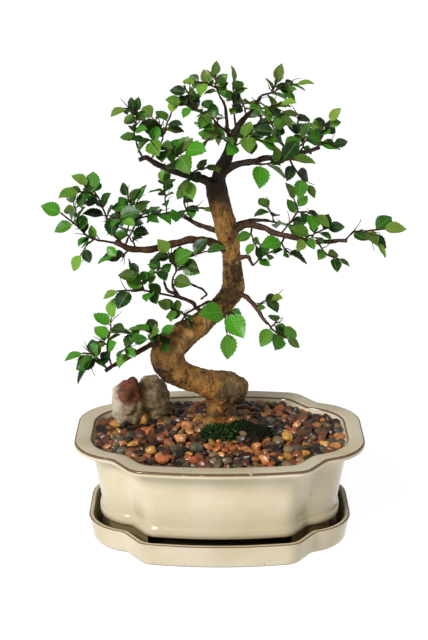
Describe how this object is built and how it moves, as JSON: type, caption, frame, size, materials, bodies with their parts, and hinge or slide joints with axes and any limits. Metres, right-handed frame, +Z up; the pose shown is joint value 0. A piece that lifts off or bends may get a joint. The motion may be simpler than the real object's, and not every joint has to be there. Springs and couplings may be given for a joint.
{
  "type": "chinese elm bonsai in a pot",
  "caption": "Small S-curved elm bonsai with toothed green leaves, in gravel in a lobed cream glazed pot with a matching drip tray.",
  "frame": {"origin": "centre of the drip tray's flat underside", "axes": "+Z up along the tree, +X to the right along the pot's long side, -Y to the front, where the viewer stands"},
  "size_m": [0.2441, 0.1568, 0.3382],
  "materials": {
    "glazed_ceramic": "glossy cream glaze with thin brown edges and small dark specks",
    "bark": "rough tan and orange-brown bark with darker patches",
    "foliage": "thin, half glossy mid green leaves, young ones yellow-green",
    "gravel_stone": "wet-looking pebbles in orange, rust, brown and grey",
    "rock_stone": "rough tan-grey stone with a rust-red patch",
    "moss_cushion": "matte dark green cushion of fine sprigs",
    "potting_soil": "matte dark granular soil",
    "screen_plastic": "black plastic"
  },
  "bodies": {
    "root": {"drip_tray": "glazed_ceramic", "pot": "glazed_ceramic", "drainage_screen_left": "screen_plastic", "drainage_screen_right": "screen_plastic", "soil": "potting_soil", "gravel": "gravel_stone", "moss": "moss_cushion", "rock": "rock_stone", "trunk": "bark", "spray_top_left_tip": "foliage", "spray_top_left_outer": "foliage", "spray_top_left_big": "foliage", "spray_top_left_inner": "foliage", "spray_apex": "foliage", "spray_crown_right": "foliage", "spray_crown_left": "foliage", "spray_crown_front": "foliage", "spray_crown_low": "foliage", "spray_leader_tip": "foliage", "spray_leader_right": "foliage", "spray_leader_back": "foliage", "spray_leader_back_left": "foliage", "spray_top_right_front": "foliage", "spray_top_right_droop": "foliage", "spray_top_right_mid": "foliage", "spray_top_right_tip": "foliage", "spray_top_right_out": "foliage", "spray_back_right_tip": "foliage", "spray_back_right_mid": "foliage", "spray_mid_left_up": "foliage", "spray_mid_left_tip": "foliage", "spray_mid_left_right": "foliage", "spray_mid_left_back": "foliage", "spray_mid_left_low": "foliage", "spray_upper_left_tip": "foliage", "spray_upper_left_mid": "foliage", "spray_lower_left_long": "foliage", "spray_lower_left_up": "foliage", "spray_lower_left_twig": "foliage", "spray_low_left_tip": "foliage", "spray_low_left_up": "foliage", "spray_low_left_mid": "foliage", "spray_knee": "foliage", "spray_elbow": "foliage", "spray_right_tip": "foliage", "spray_right_mid": "foliage", "spray_right_up": "foliage", "spray_right_hang": "foliage", "spray_right_low": "foliage", "spray_right_inner": "foliage", "spray_back_right": "foliage", "spray_right_low_tip": "foliage", "spray_right_low_up": "foliage", "spray_front": "foliage", "spray_stub": "foliage"}
  },
  "joints": []
}
